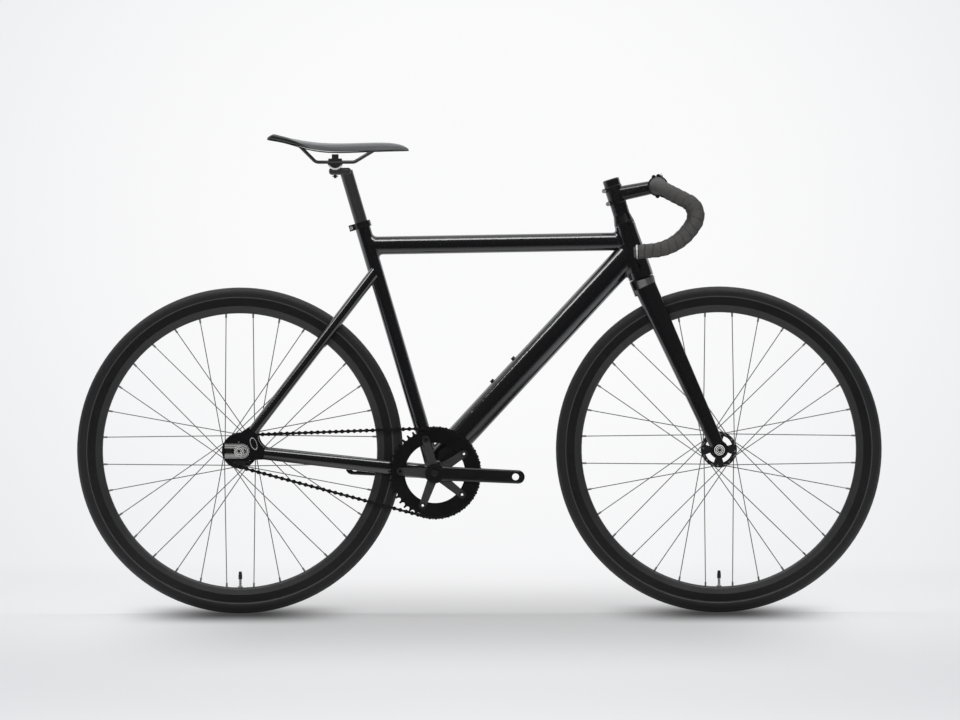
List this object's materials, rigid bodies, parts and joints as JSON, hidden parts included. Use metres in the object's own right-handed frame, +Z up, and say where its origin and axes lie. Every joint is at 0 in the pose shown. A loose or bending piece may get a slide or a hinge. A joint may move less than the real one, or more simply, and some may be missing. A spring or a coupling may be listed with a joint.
{
  "type": "fixed gear bicycle",
  "caption": "Black single speed track bicycle with drop bars, deep rims, fixed rear sprocket, square taper cranks without pedals and a narrow saddle.",
  "frame": {"origin": "on the ground plane, midway between the two axles and in the middle plane of the frame", "axes": "+X forward from the rear wheel to the front wheel, +Y to the rider's left, +Z up; the chain is at negative Y"},
  "size_m": [1.674, 0.41, 0.9955],
  "materials": {
    "frame_paint": "gloss black paint",
    "black_alloy": "satin black anodised",
    "grey_alloy": "satin dark grey anodised",
    "bright_steel": "bright",
    "dark_steel": "dark",
    "tyre_rubber": "matt",
    "tube_rubber": "matt",
    "tape": "matt",
    "saddle_cover": "satin",
    "black_plastic": "matt"
  },
  "bodies": {
    "frame": {"head_tube": "frame_paint", "top_tube": "frame_paint", "down_tube": "frame_paint", "seat_tube": "frame_paint", "bottom_bracket_shell": "frame_paint", "chainstay_right": "frame_paint", "chainstay_left": "frame_paint", "seatstay_right": "frame_paint", "seatstay_left": "frame_paint", "dropouts": "frame_paint", "dropout_plates": "bright_steel", "seat_collar": "black_alloy", "seat_collar_bolt": "dark_steel", "bottle_bolts": "dark_steel", "bottom_bracket_bearings": "dark_steel", "headset_bearings": "dark_steel", "rear_axle": "bright_steel", "rear_axle_bolts": "bright_steel", "chain": "dark_steel"},
    "steering": {"fork_steerer": "black_alloy", "fork_crown": "frame_paint", "fork_blade_right": "frame_paint", "fork_blade_left": "frame_paint", "headset_top_cover": "black_alloy", "headset_spacers": "black_alloy", "stem": "black_alloy", "stem_faceplate": "black_alloy", "stem_bolts": "dark_steel", "top_cap": "black_alloy", "front_axle": "bright_steel", "front_axle_bolts": "bright_steel"},
    "handlebar": {"handlebar": "black_alloy", "bar_tape": "tape", "bar_plugs": "black_plastic"},
    "front_wheel": {"front_hub": "black_alloy", "front_hub_bearings": "dark_steel", "front_spokes": "dark_steel", "front_rim": "black_alloy", "front_tyre": "tyre_rubber", "front_inner_tube": "tube_rubber"},
    "rear_wheel": {"rear_hub": "black_alloy", "rear_hub_bearings": "dark_steel", "rear_spokes": "dark_steel", "rear_rim": "black_alloy", "rear_tyre": "tyre_rubber", "rear_inner_tube": "tube_rubber", "rear_cog": "dark_steel", "cog_lockring": "dark_steel"},
    "crankset": {"crank_arm_right": "grey_alloy", "crank_arm_left": "grey_alloy", "chainring": "black_alloy", "chainring_bolts": "bright_steel", "crank_spindle": "bright_steel", "crank_bolts": "dark_steel"},
    "seatpost": {"seatpost": "black_alloy"},
    "saddle_clamp": {"saddle_clamp_jaws": "black_alloy", "saddle_clamp_bolt": "dark_steel"},
    "saddle": {"saddle_pad": "saddle_cover", "saddle_shell": "black_plastic", "saddle_rails": "dark_steel"}
  },
  "joints": [
    {"name": "steering", "type": "hinge", "parent": "frame", "child": "steering", "pos_m": [0.33858, 0, 0.69268], "axis": [-0.2957, 0, 0.9553], "range_deg": [-75, 75]},
    {"name": "bar_roll", "type": "hinge", "parent": "steering", "child": "handlebar", "pos_m": [0.37222, 0, 0.88669], "axis": [0, 1, 0], "range_deg": [-15, 15]},
    {"name": "front_wheel_spin", "type": "hinge", "parent": "steering", "child": "front_wheel", "pos_m": [0.498, 0, 0.339], "axis": [0, 1, 0], "continuous": true},
    {"name": "rear_wheel_spin", "type": "hinge", "parent": "frame", "child": "rear_wheel", "pos_m": [-0.498, 0, 0.339], "axis": [0, 1, 0], "continuous": true, "deforming": ["chain"]},
    {"name": "crank_spin", "type": "hinge", "parent": "frame", "child": "crankset", "pos_m": [-0.09244, 0, 0.2924], "axis": [0, 1, 0], "continuous": true, "deforming": ["chain"]},
    {"name": "seatpost_height", "type": "slide", "parent": "frame", "child": "seatpost", "axis": [-0.2807, 0, 0.9598], "range_m": [-0.09, 0.06]},
    {"name": "saddle_tilt", "type": "hinge", "parent": "seatpost", "child": "saddle_clamp", "pos_m": [-0.29843, 0, 0.93804], "axis": [0, 1, 0], "range_deg": [-8, 8]},
    {"name": "saddle_slide", "type": "slide", "parent": "saddle_clamp", "child": "saddle", "axis": [1, 0, 0], "range_m": [-0.013, 0.013]}
  ],
  "couplings": [
    {"joint": "crank_spin", "follows": "rear_wheel_spin", "ratio": 0.34783}
  ]
}
